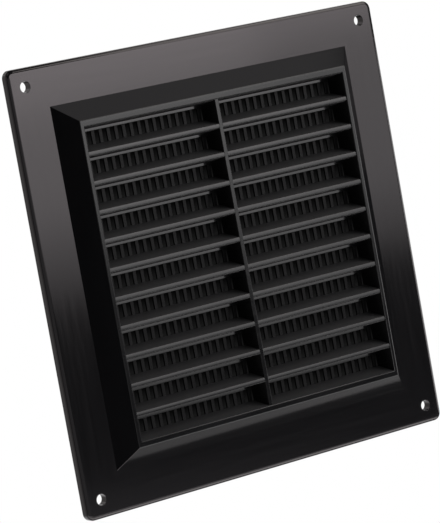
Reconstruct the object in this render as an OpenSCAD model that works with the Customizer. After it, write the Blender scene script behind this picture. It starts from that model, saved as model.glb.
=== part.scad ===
// Square ventilation grille for a wall duct, made as one plastic moulding.
// It is drawn lying flat, with the wall plane at z = 0 and the front upwards, then turned
// upright: the front looks along -Y, +Z is up, and the origin is the centre of the wall plane.

/* [Plate] */
// Width and height of the square plate
plate_size = 229; // [190:1:290]
// Radius of the plate's corners, seen from the front
corner_r = 4.2; // [3:0.1:7]
// Depth of the plate, from the wall to the flange's face
plate_depth = 4.8; // [4:0.1:8]
// How far in from the edge the face begins to round off
edge_run = 2.5; // [1:0.1:2.8]
// How far the rounding falls before the rim's straight side
edge_drop = 1.1; // [0.5:0.1:1.5]
// Thickness of the flange, the rim and the sloping sides
shell_wall = 2; // [1.2:0.1:2.6]

/* [Screw holes] */
// Diameter of a screw hole
screw_hole_d = 5.7; // [4:0.1:7]
// Distance from the plate's edges to a hole's centre
screw_inset = 9.6; // [8.5:0.1:12]
// Thickness of the boss around a hole
boss_wall = 1.6; // [1:0.1:2.2]

/* [Raised body] */
// Width of the flat flange around the body
flange_w = 21.5; // [17:0.5:28]
// Height of the body above the flange
body_rise = 9.7; // [8:0.1:16]
// Sideways run of each sloping side
slope_run = 9.7; // [5:0.1:16]
// Width of the frame's face beside the slots
frame_side = 2; // [1.6:0.1:6]
// Width of the frame's face above the slots
frame_top = 3.2; // [2:0.1:6]
// Width of the frame's face below the slots
frame_bottom = 2.9; // [2:0.1:6]

/* [Louvre blades] */
// Rows of slots
rows = 11; // [4:1:13]
// Columns of slots
columns = 2; // [1:1:5]
// Width of a mullion's face
mullion_w = 2.2; // [1.6:0.1:5]
// Height of a blade's front face
blade_face = 2.1; // [1.5:0.1:2.6]
// How far the blades and mullions stand back from the frame's face
blade_setback = 0.4; // [0:0.1:1]
// Angle at which the fronts of the blades and rails lean back
face_lean = 2; // [0:0.5:4]
// Angle at which a blade's underside falls towards the back
underside_slope = 9.5; // [8:0.1:12]
// Angle at which a slot's floor rises towards the back
floor_slope = 11.5; // [8:0.1:13]
// Depth of the rail at a blade's back, from the wall
rail_depth = 3.7; // [3:0.1:4.5]
// Height of the step from the sloping underside down to the rail's own
rail_step = 1.4; // [0.8:0.1:2.2]
// Plastic left around the hollow in a blade's back
blade_wall = 1.6; // [1.2:0.1:1.7]
// Draft of the slots' sides
draft = 1.5; // [0.5:0.1:2]

/* [Fly screen] */
// Thickness of the bars, from the wall
screen_t = 1.8; // [1.2:0.1:2.8]
// Width of a bar
bar_w = 2.05; // [1.4:0.05:3]
// Widest gap allowed between two bars
bar_gap = 2.65; // [2:0.05:4]

/* [Hidden] */
$fn = 64;

// How far a solid runs into its neighbour, and a cutter past a face
lap = 0.5;
// Height left at the thin end of a blade's hollow
tip_h = 0.8;

body_depth = plate_depth + body_rise;
blade_depth = body_depth - blade_setback;
body_front = plate_size - 2 * flange_w - 2 * slope_run;
bank_w = body_front - 2 * frame_side;
bank_h = body_front - frame_top - frame_bottom;

slot_w = (bank_w - (columns - 1) * mullion_w) / columns;
slot_h = (bank_h - (rows - 1) * blade_face) / rows;
column_pitch = slot_w + mullion_w;
row_pitch = slot_h + blade_face;

// Run of a slope for each millimetre of rise, and its sideways shift for an even wall
slope = slope_run / body_rise;
slope_shift = shell_wall * sqrt(1 + pow(slope, 2));
body_foot = body_front + 2 * slope * body_depth;

// How far a slot's side leans in, from the front to the screen
draft_gain = (body_depth - screen_t) * tan(draft);
// Fall from a blade's lower front edge to its rail's underside
rail_drop = underside_fall(rail_depth) + rail_step;

// Radius of the arc that falls by edge_drop over edge_run
edge_r = (pow(edge_run, 2) + pow(edge_drop, 2)) / (2 * edge_drop);

// As few bars in a slot as keep to bar_gap, with half a gap at each end
screen_w = slot_w - 2 * draft_gain;
bars = ceil(screen_w / (bar_w + bar_gap));
bar_pitch = screen_w / bars;
bar_h = slot_h - rail_drop - floor_rise(screen_t);

// Depth that a hollow reaches behind its rail, before it rises over the underside's slope
hollow_mouth = rail_depth - blade_wall;

screw_r = screw_hole_d / 2;

// Height of a blade's lower front edge: blade 0 is the frame's top, blade rows is its bottom
function blade_low(i) = body_front / 2 - frame_top - i * row_pitch;
// How far an underside has fallen, and a floor has risen, at depth z
function underside_fall(z) = (body_depth - z) * tan(underside_slope);
function floor_rise(z) = (body_depth - z) * tan(floor_slope);
// Centre of a column of slots
function column_x(i) = -bank_w / 2 + slot_w / 2 + i * column_pitch;

module at_screws() {
    reach = plate_size / 2 - screw_inset;
    for (side = [-1, 1], end = [-1, 1]) translate([side * reach, end * reach, 0]) children();
}

// Extrudes a section, drawn as [across, depth], along the plate's height
module run_up(length) {
    rotate([90, 0, 0]) linear_extrude(length, center = true) children();
}

// Extrudes a section, drawn as [depth, height], across the plate
module run_across(length) {
    rotate([0, -90, 0]) linear_extrude(length, center = true) children();
}

// Section of the plate's edge, from the corner's centre outwards
module edge_section() {
    intersection() {
        square([corner_r, plate_depth]);
        union() {
            translate([corner_r - edge_run, plate_depth - edge_r]) circle(edge_r);
            square([corner_r, plate_depth - edge_drop]);
            square([corner_r - edge_run, plate_depth]);
        }
    }
}

// Solid plate with rounded corners and a shallow rounding all round its face
module plate_blank() {
    straight = plate_size - 2 * corner_r;
    linear_extrude(plate_depth) square(straight, center = true);
    for (turn = [0 : 90 : 270]) rotate(turn) translate([straight / 2, 0, 0]) {
        run_up(straight) edge_section();
        translate([0, straight / 2, 0]) rotate_extrude(angle = 90) edge_section();
    }
}

// Square frustum that stands on the wall plane, with sides that slope as the body's do
module frustum(foot, height) {
    top = foot - 2 * height * slope;
    intersection_for(turn = [0, 90]) rotate(turn) run_up(foot)
        polygon([[-foot / 2, 0], [foot / 2, 0], [top / 2, height], [-top / 2, height]]);
}

// Space behind the flange and the slopes, around the bank and the bosses
module hollow() {
    difference() {
        union() {
            translate([0, 0, -lap]) linear_extrude(plate_depth - shell_wall + lap)
                square(plate_size - 2 * shell_wall, center = true);
            frustum(body_foot - 2 * slope_shift, body_depth - shell_wall);
        }
        translate([0, 0, -2 * lap]) linear_extrude(body_depth + 2 * lap)
            square(body_front, center = true);
        at_screws() translate([0, 0, -2 * lap]) cylinder(h = plate_depth + 2 * lap, r = screw_r + boss_wall);
    }
}

// Opening in which the blades and mullions stand, narrower at the screen by the sides' draft
module bank_opening() {
    back = bank_w / 2 - draft_gain;
    front = bank_w / 2;
    run_up(body_front - 2 * lap) polygon([
        [-back, -lap], [back, -lap], [back, screen_t], [front, body_depth], [front, body_depth + lap],
        [-front, body_depth + lap], [-front, body_depth], [-back, screen_t]
    ]);
}

// Flange, rim, slopes and frame, all of one wall
module shell() {
    difference() {
        union() {
            plate_blank();
            frustum(body_foot, body_depth);
        }
        hollow();
        bank_opening();
        at_screws() translate([0, 0, -lap]) cylinder(h = plate_depth + 2 * lap, r = screw_r);
    }
}

// Outline of a blade's underside, from a front at the depth given: a slope, a step that faces
// forwards, and the rail's own underside
function underside(low, front) = [
    [front, low - underside_fall(front)],
    [rail_depth, low - underside_fall(rail_depth)],
    [rail_depth + rail_step * tan(face_lean), low - rail_drop],
    [0, low - rail_drop]
];

// Outline of the floor that a blade's top gives the slot above it
function floor_line(top, front) = [
    [0, top + floor_rise(screen_t)],
    [screen_t, top + floor_rise(screen_t)],
    [front, top + floor_rise(front)]
];

// Depth that the hollow in a blade's back reaches, from the height of the blade's front and the
// angles at which its underside falls and its top rises
function hollow_tip(height, fall, rise) = min(
    blade_depth - blade_wall,
    body_depth - (tip_h - height + blade_wall * (1 / cos(fall) + 1 / cos(rise))) / (tan(fall) + tan(rise))
);

// Outline of the hollow's lower side, which keeps an even wall above an underside
function hollow_foot(low, tip) = [
    [-lap, low - rail_drop + blade_wall],
    [hollow_mouth, low - rail_drop + blade_wall],
    [hollow_mouth, low - underside_fall(hollow_mouth) + blade_wall / cos(underside_slope)],
    [tip, low - underside_fall(tip) + blade_wall / cos(underside_slope)]
];

// Outline of the hollow's upper side, which keeps an even wall below a floor
function hollow_roof(top, tip) = [
    [tip, top + floor_rise(tip) - blade_wall / cos(floor_slope)],
    [screen_t - blade_wall * tan(floor_slope / 2), top + floor_rise(screen_t) - blade_wall],
    [-lap, top + floor_rise(screen_t) - blade_wall]
];

module blade(i) {
    low = blade_low(i);
    top = low + blade_face;
    top_front = blade_depth - blade_face * tan(face_lean);
    tip = hollow_tip(blade_face, underside_slope, floor_slope);
    run_across(bank_w + frame_side) difference() {
        polygon(concat(underside(low, blade_depth), floor_line(top, top_front)));
        polygon(concat(hollow_foot(low, tip), hollow_roof(top, tip)));
    }
}

// The frame's top is an underside with no floor, and its bottom is a floor with no underside
module frame_ends() {
    edge = body_front / 2;
    top_tip = hollow_tip(frame_top, underside_slope, 0);
    bottom_tip = hollow_tip(frame_bottom, 0, floor_slope);
    run_across(bank_w + frame_side) {
        difference() {
            polygon(concat(underside(edge - frame_top, body_depth), [[0, edge], [body_depth, edge]]));
            polygon(concat(
                hollow_foot(edge - frame_top, top_tip),
                [[top_tip, edge - blade_wall], [-lap, edge - blade_wall]]
            ));
        }
        difference() {
            polygon(concat([[body_depth, -edge], [0, -edge]], floor_line(frame_bottom - edge, body_depth)));
            polygon(concat(
                [[-lap, blade_wall - edge], [bottom_tip, blade_wall - edge]],
                hollow_roof(frame_bottom - edge, bottom_tip)
            ));
        }
    }
}

module mullion() {
    foot = mullion_w / 2 + draft_gain;
    face = mullion_w / 2 + blade_setback * tan(draft);
    run_up(body_front - lap) polygon([
        [-foot, 0], [foot, 0], [foot, screen_t], [face, blade_depth], [-face, blade_depth], [-foot, screen_t]
    ]);
}

// Bars of every slot, each rooted in the blade below it and the rail above it
module fly_screen() {
    linear_extrude(screen_t)
        for (column = [0 : columns - 1], row = [0 : rows - 1], bar = [0 : bars - 1])
            translate([
                column_x(column) + (bar - (bars - 1) / 2) * bar_pitch,
                blade_low(row) - rail_drop - bar_h / 2
            ])
                square([bar_w, bar_h + 2 * lap], center = true);
}

module grille() {
    color("#1b1c1e") rotate([90, 0, 0]) {
        shell();
        frame_ends();
        for (i = [1 : rows - 1]) blade(i);
        for (i = [1 : 1 : columns - 1]) translate([(column_x(i - 1) + column_x(i)) / 2, 0, 0]) mullion();
        fly_screen();
    }
}

grille();
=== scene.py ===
"""A square ventilation grille moulded in black plastic, and the small studio that shows it."""

import logging
import math
from dataclasses import dataclass
from enum import Enum
from functools import cache

import bmesh
import bpy
from mathutils import Matrix, Vector


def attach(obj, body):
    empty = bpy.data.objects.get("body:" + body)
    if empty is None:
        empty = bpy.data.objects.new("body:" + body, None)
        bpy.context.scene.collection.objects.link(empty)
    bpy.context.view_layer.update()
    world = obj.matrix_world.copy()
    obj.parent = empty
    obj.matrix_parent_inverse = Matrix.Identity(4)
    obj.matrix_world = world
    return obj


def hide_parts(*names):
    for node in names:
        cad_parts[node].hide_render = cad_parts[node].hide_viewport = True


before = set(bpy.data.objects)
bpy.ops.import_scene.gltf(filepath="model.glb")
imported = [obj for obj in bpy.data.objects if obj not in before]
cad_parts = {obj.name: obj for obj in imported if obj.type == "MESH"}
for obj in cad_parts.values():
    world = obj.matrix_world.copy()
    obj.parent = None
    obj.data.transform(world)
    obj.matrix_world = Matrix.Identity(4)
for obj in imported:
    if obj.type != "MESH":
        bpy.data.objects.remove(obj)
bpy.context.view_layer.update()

log = logging.getLogger("ventilation_grille")

Point = tuple[float, float, float]
Colour = tuple[float, float, float]

PHOTO_HEIGHT = 523
VIEW_DIRECTION: Point = (0.55151634, 0.82862335, -0.09598474)

# Noise of the grain and of the streaks. Drift is how much a streak changes along its run.
GRAIN_DETAIL, GRAIN_ROUGHNESS = 2.0, 0.55
STREAK_DETAIL, STREAK_DRIFT = 3.0, 0.06
# Part of the streaks' mask over which the plastic goes from its glossiest to its dullest.
STREAK_LOW, STREAK_HIGH = 0.3, 0.7
PLASTIC_IOR = 1.5
DARK_CLOTH: Colour = (0.01, 0.01, 0.01)


def deselect_everything() -> None:
    """Leave edit mode if need be, and deselect every object."""
    if bpy.context.object and bpy.context.object.mode != "OBJECT":
        bpy.ops.object.mode_set(mode="OBJECT")
    bpy.ops.object.select_all(action="DESELECT")


def make_active(piece: bpy.types.Object) -> None:
    """Select one object alone and make it active.

    Args:
        piece: The object that the next operators work on.
    """
    deselect_everything()
    piece.select_set(True)
    bpy.context.view_layer.objects.active = piece


def apply_modifiers(piece: bpy.types.Object) -> None:
    """Apply every modifier of an object, in order.

    Args:
        piece: The object whose modifiers are applied.
    """
    make_active(piece)
    for modifier in list(piece.modifiers):
        bpy.ops.object.modifier_apply(modifier=modifier.name)


class Wiring:
    """Adds nodes to a tree and joins them, so that a material reads as a list of steps."""

    def __init__(self, tree: bpy.types.NodeTree) -> None:
        """Keep the tree that the nodes go into.

        Args:
            tree: A material's, a world's or a group's node tree.
        """
        self.tree = tree

    def add(self, kind: str, **settings: object) -> bpy.types.Node:
        """Add a node and set its properties.

        Args:
            kind: The node's type, without the ShaderNode in front.
            **settings: Property names of the node, and their values.

        Returns:
            The new node.
        """
        node = self.tree.nodes.new("ShaderNode" + kind)
        for name, value in settings.items():
            setattr(node, name, value)
        return node

    def join(self, output: bpy.types.NodeSocket, target: bpy.types.NodeSocket) -> None:
        """Link an output to an input.

        Args:
            output: The output that the link starts from.
            target: The input that it ends in.
        """
        self.tree.links.new(output, target)

    def math(self, operation: str, *values: object) -> bpy.types.NodeSocket:
        """Add a Math node.

        Args:
            operation: The Math node's operation.
            *values: An output to link or a number for each input in turn.

        Returns:
            The node's output.
        """
        node = self.add("Math", operation=operation)
        for socket, value in zip(node.inputs, values):
            self.feed(socket, value)
        return node.outputs[0]

    def feed(self, socket: bpy.types.NodeSocket, value: object) -> None:
        """Link an output to a socket, or set the socket to a number or a colour.

        Args:
            socket: The input that is fed.
            value: An output, a number, or a tuple.
        """
        if isinstance(value, bpy.types.NodeSocket):
            self.join(value, socket)
        else:
            socket.default_value = value


def bare_material(name: str) -> tuple[bpy.types.Material, Wiring, bpy.types.NodeSocket]:
    """Make a material that has only its output node.

    Args:
        name: The material's name.

    Returns:
        The material, the wiring of its tree and the socket that its surface goes into.
    """
    material = bpy.data.materials.new(name)
    material.use_nodes = True
    nodes = material.node_tree.nodes
    nodes.remove(nodes["Principled BSDF"])
    return material, Wiring(material.node_tree), nodes["Material Output"].inputs["Surface"]


def new_group(
    name: str, inputs: dict[str, float], outputs: list[str]
) -> tuple[Wiring, bpy.types.Node, bpy.types.Node]:
    """Make a shader node group with a Position input, float inputs and float outputs.

    Args:
        name: The group's name.
        inputs: Names of the float inputs, with their defaults.
        outputs: Names of the float outputs.

    Returns:
        The wiring of its tree, the node with its inputs and the node with its outputs.
    """
    tree = bpy.data.node_groups.new(name, "ShaderNodeTree")
    tree.interface.new_socket("Position", in_out="INPUT", socket_type="NodeSocketVector")
    for label, default in inputs.items():
        socket = tree.interface.new_socket(label, in_out="INPUT", socket_type="NodeSocketFloat")
        socket.default_value = default
    for label in outputs:
        tree.interface.new_socket(label, in_out="OUTPUT", socket_type="NodeSocketFloat")
    return Wiring(tree), tree.nodes.new("NodeGroupInput"), tree.nodes.new("NodeGroupOutput")


@cache
def moulded_grain() -> bpy.types.NodeTree:
    """Make the group for the fine grain that a spark-eroded mould leaves.

    Returns:
        The group. Size is the width of a grain and Depth its height, both in metres.
    """
    wiring, start, end = new_group("moulded_grain", {"Size": 0.0003, "Depth": 0.000002}, ["Height"])
    scale = wiring.math("DIVIDE", 1.0, start.outputs["Size"])
    noise = wiring.add("TexNoise", noise_dimensions="3D")
    wiring.feed(noise.inputs["Detail"], GRAIN_DETAIL)
    wiring.feed(noise.inputs["Roughness"], GRAIN_ROUGHNESS)
    wiring.join(start.outputs["Position"], noise.inputs["Vector"])
    wiring.join(scale, noise.inputs["Scale"])
    wiring.join(wiring.math("MULTIPLY", noise.outputs["Fac"], start.outputs["Depth"]), end.inputs["Height"])
    return wiring.tree


@cache
def flow_streaks() -> bpy.types.NodeTree:
    """Make the group for faint streaks that run round the plate, parallel to its nearest edge.

    Returns:
        The group. Spacing is the mean distance between streaks in metres, and Mask runs from 0 to 1.
    """
    wiring, start, end = new_group("flow_streaks", {"Spacing": 0.003}, ["Mask"])
    split = wiring.add("SeparateXYZ")
    wiring.join(start.outputs["Position"], split.inputs[0])
    across = wiring.math("ABSOLUTE", split.outputs["X"])
    upward = wiring.math("ABSOLUTE", split.outputs["Z"])
    ring = wiring.math("MAXIMUM", across, upward)
    along = wiring.math("MULTIPLY", wiring.math("MINIMUM", across, upward), STREAK_DRIFT)
    place = wiring.add("CombineXYZ")
    wiring.join(ring, place.inputs["X"])
    wiring.join(along, place.inputs["Y"])
    noise = wiring.add("TexNoise", noise_dimensions="2D")
    wiring.feed(noise.inputs["Detail"], STREAK_DETAIL)
    wiring.join(place.outputs[0], noise.inputs["Vector"])
    wiring.join(wiring.math("DIVIDE", 1.0, start.outputs["Spacing"]), noise.inputs["Scale"])
    wiring.join(noise.outputs["Fac"], end.inputs["Mask"])
    return wiring.tree


@cache
def gentle_bow() -> bpy.types.NodeTree:
    """Make the group for the slight dome and lean that a large moulding takes as it cools.

    Returns:
        The group. Rise is the dome's height and Reach the distance over which it falls, in metres,
        and Lean is how far the surface goes back for each metre upwards.
    """
    wiring, start, end = new_group("gentle_bow", {"Rise": 0.0017, "Reach": 0.1145, "Lean": 0.0}, ["Height"])
    split = wiring.add("SeparateXYZ")
    wiring.join(start.outputs["Position"], split.inputs[0])
    square = wiring.math(
        "ADD",
        wiring.math("POWER", wiring.math("ABSOLUTE", split.outputs["X"]), 2.0),
        wiring.math("POWER", wiring.math("ABSOLUTE", split.outputs["Z"]), 2.0),
    )
    reach = wiring.math("MULTIPLY", start.outputs["Reach"], start.outputs["Reach"])
    share = wiring.math("DIVIDE", square, reach)
    fall = wiring.math("MULTIPLY", share, start.outputs["Rise"])
    lean = wiring.math("MULTIPLY", split.outputs["Z"], start.outputs["Lean"])
    wiring.join(wiring.math("SUBTRACT", 0.0, wiring.math("ADD", fall, lean)), end.inputs["Height"])
    return wiring.tree


class Zone(Enum):
    """Part of the moulding that a face belongs to, by the number of its material slot."""

    PLATE = 0
    FRAME = 1
    BLADES = 2
    FLOORS = 3
    SCREEN = 4


class EdgePlace(Enum):
    """Where on the moulding an edge lies."""

    RIM = "rim"
    FRONT = "front"
    PLAIN = "plain"


@dataclass(frozen=True)
class MouldedPlastic:
    """Black plastic with a fine grain, faint streaks and a slight bow.

    Attributes:
        name: Name of the material.
        colour: Colour of the plastic.
        streak_colour: Colour in the palest streaks.
        gloss: Roughness of the smoothest places.
        dull: Roughness of the dullest places.
        sheen: How strongly it shines, where 0.5 is a bare polished plastic.
        sheen_tint: Colour of its shine.
        grain_size: Width of a grain, in metres.
        grain_depth: Height of a grain, in metres.
        bow_rise: Height of the plate's bow, in metres.
        lean: Extra lean of upright faces, in degrees.
    """

    name: str
    colour: Colour = (0.0056, 0.0056, 0.0063)
    streak_colour: Colour = (0.0082, 0.0082, 0.0091)
    gloss: float = 0.09
    dull: float = 0.12
    sheen: float = 0.5
    sheen_tint: Colour = (1.0, 1.0, 1.0)
    grain_size: float = 0.0004
    grain_depth: float = 0.0000012
    bow_rise: float = 0.0017
    lean: float = 0.0

    def material(self) -> bpy.types.Material:
        """Build the material.

        Returns:
            The finished material.
        """
        material = bpy.data.materials.new(self.name)
        material.use_nodes = True
        wiring = Wiring(material.node_tree)
        shader = material.node_tree.nodes["Principled BSDF"]
        place = wiring.add("TexCoord").outputs["Object"]

        streaks = wiring.add("Group", node_tree=flow_streaks())
        wiring.join(place, streaks.inputs["Position"])
        shade = wiring.add("Mix", data_type="RGBA")
        wiring.join(streaks.outputs["Mask"], shade.inputs["Factor"])
        wiring.feed(shade.inputs["A"], (*self.colour, 1.0))
        wiring.feed(shade.inputs["B"], (*self.streak_colour, 1.0))
        wiring.join(shade.outputs["Result"], shader.inputs["Base Color"])

        spread = wiring.add("MapRange")
        wiring.join(streaks.outputs["Mask"], spread.inputs["Value"])
        wiring.feed(spread.inputs["From Min"], STREAK_LOW)
        wiring.feed(spread.inputs["From Max"], STREAK_HIGH)
        wiring.feed(spread.inputs["To Min"], self.gloss)
        wiring.feed(spread.inputs["To Max"], self.dull)
        wiring.join(spread.outputs["Result"], shader.inputs["Roughness"])

        grain = wiring.add("Group", node_tree=moulded_grain())
        wiring.join(place, grain.inputs["Position"])
        wiring.feed(grain.inputs["Size"], self.grain_size)
        wiring.feed(grain.inputs["Depth"], self.grain_depth)
        bow = wiring.add("Group", node_tree=gentle_bow())
        wiring.join(place, bow.inputs["Position"])
        wiring.feed(bow.inputs["Rise"], self.bow_rise)
        wiring.feed(bow.inputs["Lean"], math.tan(math.radians(self.lean)))
        relief = wiring.math("ADD", grain.outputs["Height"], bow.outputs["Height"])
        bump = wiring.add("Bump")
        wiring.feed(bump.inputs["Strength"], 1.0)
        wiring.feed(bump.inputs["Distance"], 1.0)
        wiring.join(relief, bump.inputs["Height"])
        wiring.join(bump.outputs["Normal"], shader.inputs["Normal"])

        wiring.feed(shader.inputs["IOR"], PLASTIC_IOR)
        wiring.feed(shader.inputs["Specular IOR Level"], self.sheen)
        wiring.feed(shader.inputs["Specular Tint"], (*self.sheen_tint, 1.0))
        return material


@dataclass
class Moulding:
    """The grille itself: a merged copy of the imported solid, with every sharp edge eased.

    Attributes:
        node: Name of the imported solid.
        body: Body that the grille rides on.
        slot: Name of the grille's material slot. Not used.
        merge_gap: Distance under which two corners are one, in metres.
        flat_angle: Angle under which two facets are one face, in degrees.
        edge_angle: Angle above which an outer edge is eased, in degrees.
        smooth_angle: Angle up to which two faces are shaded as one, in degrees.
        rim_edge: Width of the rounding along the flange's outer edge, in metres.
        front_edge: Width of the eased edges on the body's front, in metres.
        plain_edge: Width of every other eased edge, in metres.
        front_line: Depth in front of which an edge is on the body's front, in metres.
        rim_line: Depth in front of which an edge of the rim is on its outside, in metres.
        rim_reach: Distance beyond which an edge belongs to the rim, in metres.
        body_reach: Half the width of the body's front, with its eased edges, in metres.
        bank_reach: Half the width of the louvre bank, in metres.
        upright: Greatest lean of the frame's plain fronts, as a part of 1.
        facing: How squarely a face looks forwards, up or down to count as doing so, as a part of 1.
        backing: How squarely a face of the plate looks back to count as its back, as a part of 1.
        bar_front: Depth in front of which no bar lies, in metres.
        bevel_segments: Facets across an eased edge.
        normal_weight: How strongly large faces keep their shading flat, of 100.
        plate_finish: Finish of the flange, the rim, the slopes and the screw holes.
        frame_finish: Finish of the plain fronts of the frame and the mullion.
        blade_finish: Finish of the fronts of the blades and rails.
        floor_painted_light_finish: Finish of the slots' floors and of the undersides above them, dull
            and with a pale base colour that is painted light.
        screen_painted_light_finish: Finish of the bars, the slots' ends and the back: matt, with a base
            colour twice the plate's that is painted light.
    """

    node: str = "grille"
    body: str = "root"
    slot: str = "black_plastic"
    merge_gap: float = 0.000001
    flat_angle: float = 0.5
    edge_angle: float = 30.0
    smooth_angle: float = 35.0
    rim_edge: float = 0.0007
    front_edge: float = 0.00038
    plain_edge: float = 0.0002
    front_line: float = -0.0138
    rim_line: float = -0.003
    rim_reach: float = 0.1125
    body_reach: float = 0.0845
    bank_reach: float = 0.0818
    upright: float = 0.02
    facing: float = 0.5
    backing: float = 0.9
    bar_front: float = -0.003
    bevel_segments: int = 3
    normal_weight: int = 50
    # The plate's shine has a painted warm tint that stands in for warm light in its reflections.
    plate_finish: MouldedPlastic = MouldedPlastic("polished_black_plastic", sheen_tint=(1.0, 0.93, 0.95))
    frame_finish: MouldedPlastic = MouldedPlastic(
        "satin_black_frame", gloss=0.11, dull=0.15, sheen=0.42, bow_rise=0.0012
    )
    blade_finish: MouldedPlastic = MouldedPlastic(
        "satin_black_blades", gloss=0.1, dull=0.14, sheen=0.43, bow_rise=0.0, lean=0.5
    )
    floor_painted_light_finish: MouldedPlastic = MouldedPlastic(
        "dull_black_plastic_painted_light",
        # Painted light: a base colour about twelve times the plate's, for the light on the floors and
        # undersides.
        (0.066, 0.066, 0.068),
        (0.074, 0.074, 0.076),
        gloss=0.34,
        dull=0.42,
        bow_rise=0.0,
    )
    screen_painted_light_finish: MouldedPlastic = MouldedPlastic(
        "matt_black_plastic_painted_light",
        # Painted light: a base colour twice the plate's, for the light on the bars.
        (0.011, 0.011, 0.0115),
        (0.014, 0.014, 0.0145),
        gloss=0.25,
        dull=0.33,
        sheen=0.12,
        bow_rise=0.0,
    )

    def merged_copy(self) -> bpy.types.Object:
        """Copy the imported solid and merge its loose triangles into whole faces.

        Returns:
            The copy, a closed mesh with its place in its mesh.
        """
        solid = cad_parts[self.node]
        piece = bpy.data.objects.new("louvred_grille", solid.data.copy())
        bpy.context.collection.objects.link(piece)
        make_active(piece)
        bpy.ops.object.mode_set(mode="EDIT")
        bpy.ops.mesh.select_all(action="SELECT")
        bpy.ops.mesh.remove_doubles(threshold=self.merge_gap)
        bpy.ops.mesh.customdata_custom_splitnormals_clear()
        bpy.ops.mesh.dissolve_limited(angle_limit=math.radians(self.flat_angle))
        bpy.ops.object.mode_set(mode="OBJECT")
        return piece

    def edge_place(self, ends: list[Vector]) -> EdgePlace:
        """Tell where on the moulding an edge lies.

        Args:
            ends: Both ends of the edge.

        Returns:
            Its place.
        """
        front = max(end.y for end in ends)
        reach = min(max(abs(end.x), abs(end.z)) for end in ends)
        if front < self.front_line:
            return EdgePlace.FRONT
        return EdgePlace.RIM if front < self.rim_line and reach > self.rim_reach else EdgePlace.PLAIN

    def weigh_edges(self, piece: bpy.types.Object, place: EdgePlace, width: float) -> int:
        """Mark how far the sharp outer edges of one place are to be rounded.

        Args:
            piece: The merged copy.
            place: Which edges are marked.
            width: Width of their rounding, in metres.

        Returns:
            The number of edges to round.
        """
        make_active(piece)
        bpy.ops.object.mode_set(mode="EDIT")
        bpy.ops.mesh.select_mode(type="EDGE")
        bpy.ops.mesh.select_all(action="DESELECT")
        mesh = bmesh.from_edit_mesh(piece.data)
        limit, marked = math.radians(self.edge_angle), 0
        for edge in mesh.edges:
            ends = [end.co for end in edge.verts]
            if edge.calc_face_angle_signed() > limit and self.edge_place(ends) is place:
                edge.select_set(True)
                marked += 1
        bmesh.update_edit_mesh(piece.data)
        bpy.ops.transform.edge_bevelweight(value=width / self.rim_edge)
        bpy.ops.object.mode_set(mode="OBJECT")
        return marked

    def ease_edges(self, piece: bpy.types.Object) -> None:
        """Round every sharp outer edge a little, and keep the flat faces flat in the light.

        Args:
            piece: The merged copy.
        """
        widths = {
            EdgePlace.RIM: self.rim_edge,
            EdgePlace.FRONT: self.front_edge,
            EdgePlace.PLAIN: self.plain_edge,
        }
        for place, width in widths.items():
            marked = self.weigh_edges(piece, place, width)
            log.info("%s: %d %s edges to ease", piece.name, marked, place.value)
        bevel = piece.modifiers.new("eased_edges", "BEVEL")
        bevel.width = self.rim_edge
        bevel.segments = self.bevel_segments
        bevel.limit_method = "WEIGHT"
        bevel.miter_outer = "MITER_ARC"
        bevel.use_clamp_overlap = False
        apply_modifiers(piece)
        bpy.ops.object.shade_smooth_by_angle(angle=math.radians(self.smooth_angle), keep_sharp_edges=False)
        weighted = piece.modifiers.new("flat_faces", "WEIGHTED_NORMAL")
        weighted.mode = "FACE_AREA"
        weighted.weight = self.normal_weight
        weighted.keep_sharp = True
        apply_modifiers(piece)

    def zone(self, corners: list[Vector], normal: Vector) -> Zone:
        """Tell which part of the moulding a face belongs to.

        Args:
            corners: Corners of the face.
            normal: Direction that it looks in.

        Returns:
            The part.
        """
        reach = max(max(abs(corner.x), abs(corner.z)) for corner in corners)
        if reach > self.body_reach:
            return Zone.PLATE if normal.y < self.backing else Zone.SCREEN
        if min(corner.y for corner in corners) > self.bar_front:
            return Zone.SCREEN
        if normal.y < -self.facing and (abs(normal.z) < self.upright or reach > self.bank_reach):
            return Zone.FRAME
        if normal.y < -self.facing:
            return Zone.BLADES
        return Zone.FLOORS if abs(normal.z) > self.facing else Zone.SCREEN

    def dress(self, piece: bpy.types.Object) -> None:
        """Give each face the finish of its part.

        Args:
            piece: The eased copy.
        """
        piece.data.materials.clear()
        finishes = {
            Zone.PLATE: self.plate_finish,
            Zone.FRAME: self.frame_finish,
            Zone.BLADES: self.blade_finish,
            Zone.FLOORS: self.floor_painted_light_finish,
            Zone.SCREEN: self.screen_painted_light_finish,
        }
        for zone in Zone:
            piece.data.materials.append(finishes[zone].material())
        counts = dict.fromkeys(Zone, 0)
        for face in piece.data.polygons:
            zone = self.zone([piece.data.vertices[i].co for i in face.vertices], face.normal)
            face.material_index = zone.value
            counts[zone] += 1
        log.info("%s: faces %s", piece.name, {zone.name.lower(): count for zone, count in counts.items()})

    def build(self) -> bpy.types.Object:
        """Make the grille, dress it and tie it to its body.

        Returns:
            The finished piece.
        """
        piece = self.merged_copy()
        self.ease_edges(piece)
        self.dress(piece)
        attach(piece, self.body)
        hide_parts(self.node)
        log.info("%s: %d faces", piece.name, len(piece.data.polygons))
        return piece


class PanelKind(Enum):
    """What a studio panel does to the light."""

    LAMP = "lamp"
    FLAG = "flag"


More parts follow.
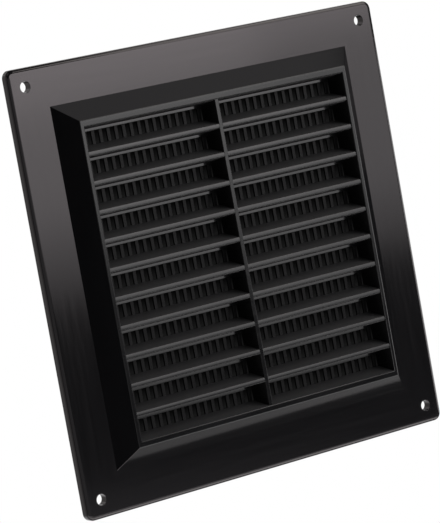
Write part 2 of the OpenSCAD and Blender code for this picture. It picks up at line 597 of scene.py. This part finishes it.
@dataclass(frozen=True)
class Panel:
    """A flat rectangle that stands round the grille and is never in the picture itself.

    Attributes:
        name: Name of the panel.
        kind: Whether it gives light or keeps it away.
        bearing: Degrees to the right of straight in front of the grille.
        height_angle: Degrees above the grille.
        distance: Distance from the grille, in metres.
        width: Width, in metres.
        height: Height, in metres.
        radiance: Brightness of its face, where 1 shows as white.
        tint: Colour of its light.
        turn: Degrees that it is turned about the line to the grille.
    """

    name: str
    kind: PanelKind
    bearing: float
    height_angle: float
    distance: float
    width: float
    height: float
    radiance: float = 0.0
    tint: Colour = (1.0, 1.0, 1.0)
    turn: float = 0.0

    def place(self) -> Matrix:
        """Find where the panel stands, with its face towards the grille.

        Returns:
            The panel's matrix.
        """
        turn, lift = math.radians(self.bearing), math.radians(self.height_angle)
        away = Vector((math.sin(turn) * math.cos(lift), -math.cos(turn) * math.cos(lift), math.sin(lift)))
        facing = away.to_track_quat("Z", "Y").to_matrix().to_4x4()
        twist = Matrix.Rotation(math.radians(self.turn), 4, "Z")
        return Matrix.Translation(away * self.distance) @ facing @ twist

    def build(self) -> bpy.types.Object:
        """Make the panel.

        Returns:
            The lamp or the flag.
        """
        if self.kind is PanelKind.LAMP:
            light = bpy.data.lights.new(self.name, "AREA")
            light.shape = "RECTANGLE"
            light.size, light.size_y = self.width, self.height
            light.energy = self.radiance * math.pi * self.width * self.height
            light.color = self.tint
            panel = bpy.data.objects.new(self.name, light)
            bpy.context.collection.objects.link(panel)
        else:
            deselect_everything()
            bpy.ops.mesh.primitive_plane_add(size=1.0)
            panel = bpy.context.object
            panel.name = self.name
            panel.scale = (self.width, self.height, 1.0)
            panel.data.materials.append(self.dark_cloth())
        panel.matrix_world = self.place() @ Matrix.Diagonal((*panel.scale, 1.0))
        panel.visible_camera = False
        return panel

    @staticmethod
    def dark_cloth() -> bpy.types.Material:
        """Make the cloth of a flag, which gives back almost no light.

        Returns:
            The material.
        """
        material = bpy.data.materials.new("dark_cloth")
        material.use_nodes = True
        shader = material.node_tree.nodes["Principled BSDF"]
        shader.inputs["Base Color"].default_value = (*DARK_CLOTH, 1.0)
        shader.inputs["Roughness"].default_value = 1.0
        shader.inputs["Specular IOR Level"].default_value = 0.0
        return material


@dataclass
class PaintedSlotShade:
    """Painted shade behind the louvres: near-black rectangles standing where there is only shade, which show
    only from the front, between the bars.

    Attributes:
        columns: Columns of slots.
        rows: Rows of slots.
        column_pitch: Distance between two columns' centres, in metres.
        row_pitch: Distance between two rows, in metres.
        width: Width of a slot's screen, in metres.
        height: Height of a slot's screen, in metres.
        top: Height of the first row's screen centre, in metres.
        depth: Where the shade stands, between the bars' faces and the wall, in metres.
        head_glow: Brightness of the painted light at the head of a slot's screen.
        foot_glow: Brightness of the painted light at its foot, which stands in for light that falls in from
            the front.
    """

    columns: int = 2
    rows: int = 11
    column_pitch: float = 0.0824
    row_pitch: float = 0.01478182
    width: float = 0.079535
    height: float = 0.006891
    top: float = 0.073447
    depth: float = -0.0008
    head_glow: float = 0.001
    foot_glow: float = 0.009

    def build(self) -> bpy.types.Object:
        """Make one rectangle of painted shade for each slot.

        Returns:
            The rectangles, as one stage object.
        """
        deselect_everything()
        bpy.ops.mesh.primitive_plane_add(size=1.0, rotation=(math.pi / 2, 0.0, 0.0))
        shade = bpy.context.object
        shade.name = "painted_slot_shade"
        shade.scale = (self.width, self.height, 1.0)
        shade.location = (-self.column_pitch * (self.columns - 1) / 2, self.depth, self.top)
        bpy.ops.object.transform_apply()
        for name, count, step in (
            ("columns", self.columns, (self.column_pitch, 0.0, 0.0)),
            ("rows", self.rows, (0.0, 0.0, -self.row_pitch)),
        ):
            copies = shade.modifiers.new(name, "ARRAY")
            copies.count = count
            copies.use_relative_offset = False
            copies.use_constant_offset = True
            copies.constant_offset_displace = step
        apply_modifiers(shade)
        shade.data.materials.append(self.painted_shade_material())
        log.info("%s: %d rectangles", shade.name, len(shade.data.polygons))
        return shade

    def painted_shade_material(self) -> bpy.types.Material:
        """Make the painted shade's material: near black, with a little painted light at each row's foot.

        Seen from the back, it is clear.

        Returns:
            The material.
        """
        material, wiring, surface = bare_material("painted_slot_shade_glow")
        split = wiring.add("SeparateXYZ")
        wiring.join(wiring.add("TexCoord").outputs["Object"], split.inputs[0])
        head = self.top + self.height / 2
        rows_down = wiring.math("DIVIDE", wiring.math("SUBTRACT", head, split.outputs["Z"]), self.row_pitch)
        below_head = wiring.math("FRACT", wiring.math("ADD", rows_down, float(self.rows)))
        fall = wiring.add("MapRange")
        wiring.join(below_head, fall.inputs["Value"])
        wiring.feed(fall.inputs["From Max"], self.height / self.row_pitch)
        wiring.feed(fall.inputs["To Min"], self.head_glow)
        wiring.feed(fall.inputs["To Max"], self.foot_glow)
        # Painted light: a glow that rises from the head to the foot of each row's screen.
        glow = wiring.add("Emission")
        wiring.join(fall.outputs["Result"], glow.inputs["Strength"])
        choice = wiring.add("MixShader")
        wiring.join(wiring.add("NewGeometry").outputs["Backfacing"], choice.inputs["Fac"])
        wiring.join(glow.outputs[0], choice.inputs[1])
        wiring.join(wiring.add("BsdfTransparent").outputs[0], choice.inputs[2])
        wiring.join(choice.outputs[0], surface)
        return material


@dataclass
class Floor:
    """A round pale floor below the grille.

    Attributes:
        radius: Radius, in metres.
        level: Height of the floor, in metres.
        corners: Corners of its outline.
        white: How much light the paper gives back, as a part of 1.
        glow: Brightness that its upper side adds for the camera, so that it shows white.
        painted_reflection: Painted reflection that a shiny surface shows instead, with the grille's
            shadow painted in: pairs of a distance behind the wall plane, in metres, and the brightness
                there, least just in front of the grille.
    """

    radius: float = 0.46
    level: float = -0.3
    corners: int = 96
    white: float = 0.8
    glow: float = 0.75
    painted_reflection: tuple[tuple[float, float], ...] = (
        (-0.07, 1.0),
        (-0.054, 0.05),
        (-0.026, 0.05),
        (-0.006, 0.5),
        (0.02, 0.42),
        (0.033, 0.4),
        (0.05, 1.0),
    )

    def build(self) -> bpy.types.Object:
        """Make the floor.

        Returns:
            The floor, as a stage object.
        """
        deselect_everything()
        bpy.ops.mesh.primitive_circle_add(
            vertices=self.corners, radius=self.radius, fill_type="NGON", location=(0.0, 0.0, self.level)
        )
        floor = bpy.context.object
        floor.name = "floor"
        floor.data.materials.append(self.paper())
        return floor

    def paper(self) -> bpy.types.Material:
        """Make the floor's white paper, which shows white and keeps a soft shadow, while shiny surfaces
        see a painted reflection of it, with the grille's shadow painted in.

        Returns:
            The material.
        """
        material, wiring, surface = bare_material("white_paper")
        paper = wiring.add("BsdfDiffuse")
        wiring.feed(paper.inputs["Color"], (self.white, self.white, self.white, 1.0))
        path = wiring.add("LightPath").outputs
        seen = wiring.math("MAXIMUM", path["Is Camera Ray"], path["Is Transmission Ray"])
        below = wiring.math("MULTIPLY", wiring.add("NewGeometry").outputs["Backfacing"], 1.0 - self.glow)
        plain = wiring.math("MULTIPLY", seen, wiring.math("ADD", below, self.glow))
        split = wiring.add("SeparateXYZ")
        wiring.join(wiring.add("TexCoord").outputs["Object"], split.inputs[0])
        near, far = self.painted_reflection[0][0], self.painted_reflection[-1][0]
        depth = wiring.add("MapRange")
        wiring.join(split.outputs["Y"], depth.inputs["Value"])
        wiring.feed(depth.inputs["From Min"], near)
        wiring.feed(depth.inputs["From Max"], far)
        # Painted shadow: the grille's shadow on the floor, painted by distance behind the wall plane into
        # what shiny surfaces see.
        shadow = wiring.add("ValToRGB")
        stops = shadow.color_ramp.elements
        for index, (distance, brightness) in enumerate(self.painted_reflection):
            place = (distance - near) / (far - near)
            stop = stops[index] if index < 1 else stops.new(place)
            stop.position, stop.color = place, (brightness, brightness, brightness, 1.0)
        # The stop left at the end is the one that a new ramp comes with.
        stops.remove(stops[len(stops) - 1])
        wiring.join(depth.outputs["Result"], shadow.inputs["Fac"])
        glow = wiring.add("Emission")
        wiring.join(plain, glow.inputs["Strength"])
        seen_plain = wiring.add("AddShader")
        wiring.join(paper.outputs[0], seen_plain.inputs[0])
        wiring.join(glow.outputs[0], seen_plain.inputs[1])
        seen_painted_reflection = wiring.add("Emission")
        wiring.join(shadow.outputs["Color"], seen_painted_reflection.inputs["Strength"])
        choice = wiring.add("MixShader")
        wiring.join(path["Is Glossy Ray"], choice.inputs["Fac"])
        wiring.join(seen_plain.outputs[0], choice.inputs[1])
        wiring.join(seen_painted_reflection.outputs[0], choice.inputs[2])
        wiring.join(choice.outputs[0], surface)
        return material


@dataclass
class Room:
    """Dim walls round the studio, with an opening where the white background stands behind the grille.

    The camera looks past them, so that the background is white from every side, and only the
    surfaces of the grille show them.

    Attributes:
        radius: Distance of the walls, in metres.
        towards: Direction of the opening's middle.
        opening: Half the opening's width, in degrees.
        fineness: How often the ball that the walls are cut from is divided.
        glow: Brightness of the walls.
    """

    radius: float = 10.0
    towards: Point = VIEW_DIRECTION
    opening: float = 28.0
    fineness: int = 5
    glow: float = 0.035

    def build(self) -> bpy.types.Object:
        """Make the walls.

        Returns:
            The walls, as a stage object.
        """
        deselect_everything()
        bpy.ops.mesh.primitive_ico_sphere_add(subdivisions=self.fineness, radius=self.radius)
        walls = bpy.context.object
        walls.name = "room_walls"
        bpy.ops.object.mode_set(mode="EDIT")
        bpy.ops.mesh.select_mode(type="FACE")
        bpy.ops.mesh.select_all(action="DESELECT")
        bpy.ops.object.mode_set(mode="OBJECT")
        middle, limit = Vector(self.towards), math.radians(self.opening)
        for face in walls.data.polygons:
            face.select = face.center.angle(middle) < limit
        bpy.ops.object.mode_set(mode="EDIT")
        bpy.ops.mesh.delete(type="FACE")
        bpy.ops.object.mode_set(mode="OBJECT")
        walls.data.materials.append(self.dim_paint())
        walls.visible_camera = False
        walls.visible_transmission = False
        log.info("%s: %d faces", walls.name, len(walls.data.polygons))
        return walls

    def dim_paint(self) -> bpy.types.Material:
        """Make the walls' material, a plain dim glow.

        Returns:
            The material.
        """
        material, wiring, surface = bare_material("dim_paint")
        glow = wiring.add("Emission")
        wiring.feed(glow.inputs["Strength"], self.glow)
        wiring.join(glow.outputs[0], surface)
        return material


@dataclass
class Camera:
    """The camera, at the photograph's place and tilt.

    Attributes:
        eye: Where the camera stands, in metres.
        forward: Direction that it looks in.
        roll: Degrees that it is turned anticlockwise about that direction.
        focal_pixels: Focal length, in pixels of the photograph.
        near: Distance from which things show, in metres.
        far: Distance up to which they show, in metres.
    """

    eye: Point = (-0.893413, -1.332979, 0.151245)
    forward: Point = VIEW_DIRECTION
    roll: float = -10.212
    focal_pixels: float = 3114.141
    near: float = 0.05
    far: float = 20.0

    def build(self) -> bpy.types.Object:
        """Make the camera and hand it to the scene.

        Returns:
            The camera.
        """
        lens = bpy.data.cameras.new("camera")
        lens.lens = lens.sensor_width * self.focal_pixels / PHOTO_HEIGHT
        lens.clip_start, lens.clip_end = self.near, self.far
        camera = bpy.data.objects.new("camera", lens)
        bpy.context.collection.objects.link(camera)
        level = Vector(self.forward).to_track_quat("-Z", "Y").to_matrix().to_4x4()
        turn = Matrix.Rotation(math.radians(self.roll), 4, "Z")
        camera.matrix_world = Matrix.Translation(self.eye) @ level @ turn
        bpy.context.scene.camera = camera
        log.info("camera axes %s", [[round(v, 5) for v in row] for row in camera.matrix_world])
        return camera


@dataclass
class Studio:
    """Lamps, a flag, floor, walls, painted slot shade, world and camera.

    Attributes:
        panels: The lamps and the flag, each with its bearing, height angle, distance, width, height,
            radiance and tint in that order.
        glow: Brightness of the background for light that comes back from matt surfaces.
    """

    panels: tuple[Panel, ...] = (
        Panel("key_foot", PanelKind.LAMP, 28.0, 6.8, 8.00, 6.46, 3.56, 1.05, (1.0, 0.99, 0.995), turn=-2.4),
        Panel("key_lower", PanelKind.LAMP, 28.0, 8.1, 7.95, 6.42, 3.47, 0.55, (1.0, 0.99, 0.995), turn=-1.5),
        Panel("key_middle", PanelKind.LAMP, 14.5, 9.0, 7.90, 6.38, 3.40, 0.65, (1.0, 0.985, 0.985)),
        Panel("key_head", PanelKind.LAMP, 24.0, 11.5, 7.85, 6.34, 2.92, 1.2, (1.0, 0.94, 0.96), turn=2.0),
        Panel("table_glow", PanelKind.LAMP, 35.0, -18.4, 3.0, 3.6, 0.44, 0.27, (0.97, 0.97, 1.0)),
        Panel("foot_glow", PanelKind.LAMP, 0.0, -68.4, 0.29, 0.7, 0.09, 1.6, (1.0, 0.97, 0.96)),
        Panel("upper_fill", PanelKind.LAMP, 52.0, 38.0, 1.6, 1.0, 0.6, 2.4, (1.0, 0.97, 0.93)),
        Panel("upper_wing", PanelKind.LAMP, 58.0, 50.0, 1.7, 0.28, 0.35, 1.6, (1.0, 0.95, 0.92)),
        Panel("top_fill", PanelKind.LAMP, 90.0, 62.0, 1.8, 0.9, 0.7, 0.33),
        Panel("crown_fill", PanelKind.LAMP, 130.0, 42.0, 1.8, 1.15, 0.9, 1.0, (1.0, 0.95, 0.93)),
        Panel("crown_foot", PanelKind.LAMP, 143.0, 19.0, 1.8, 1.2, 0.52, 0.45, (1.0, 0.96, 0.95)),
        Panel("corner_fill", PanelKind.LAMP, 187.0, 33.0, 1.8, 1.0, 0.6, 0.6, (1.0, 0.96, 0.95)),
        Panel("corner_wing", PanelKind.LAMP, -65.0, 57.0, 1.8, 1.3, 0.75, 0.5, (1.0, 0.96, 0.95)),
        Panel("right_wing", PanelKind.LAMP, 57.0, 9.5, 2.0, 0.45, 0.85, 0.35, (1.0, 0.97, 0.98)),
        Panel("right_fill", PanelKind.LAMP, 92.0, -6.3, 2.0, 2.1, 0.56, 1.7, (1.0, 0.98, 0.985)),
        Panel("left_fill", PanelKind.LAMP, -22.0, -5.0, 1.8, 1.65, 1.2, 0.3),
        Panel("left_flag", PanelKind.FLAG, -58.0, -4.0, 1.5, 0.48, 1.4),
        Panel("left_back_fill", PanelKind.LAMP, -123.0, 0.0, 1.6, 3.9, 2.4, 0.43, (1.0, 0.97, 0.95)),
    )
    glow: float = 0.09

    def world(self) -> bpy.types.World:
        """Make the world, white where the camera looks past the grille.

        Returns:
            The world.
        """
        world = bpy.data.worlds.new("studio_room")
        world.use_nodes = True
        wiring = Wiring(world.node_tree)
        path = wiring.add("LightPath").outputs
        seen = wiring.math("MAXIMUM", path["Is Camera Ray"], path["Is Transmission Ray"])
        seen = wiring.math("MAXIMUM", seen, path["Is Glossy Ray"])
        strength = wiring.add("MapRange")
        wiring.join(seen, strength.inputs["Value"])
        wiring.feed(strength.inputs["To Min"], self.glow)
        wiring.feed(strength.inputs["To Max"], 1.0)
        background = world.node_tree.nodes["Background"]
        wiring.feed(background.inputs["Color"], (1.0, 1.0, 1.0, 1.0))
        wiring.join(strength.outputs["Result"], background.inputs["Strength"])
        bpy.context.scene.world = world
        return world

    def build(self) -> None:
        """Set up the whole studio."""
        Camera().build()
        for panel in self.panels:
            panel.build()
        Floor().build()
        Room().build()
        PaintedSlotShade().build()
        self.world()
        bpy.context.scene.view_settings.view_transform = "Standard"
        log.info("studio: %d panels", len(self.panels))


def main() -> None:
    """Build the grille and the studio, in that order."""
    logging.basicConfig(level=logging.INFO, format="%(name)s %(message)s")
    Moulding().build()
    Studio().build()
    deselect_everything()


if __name__ == "__main__":
    main()
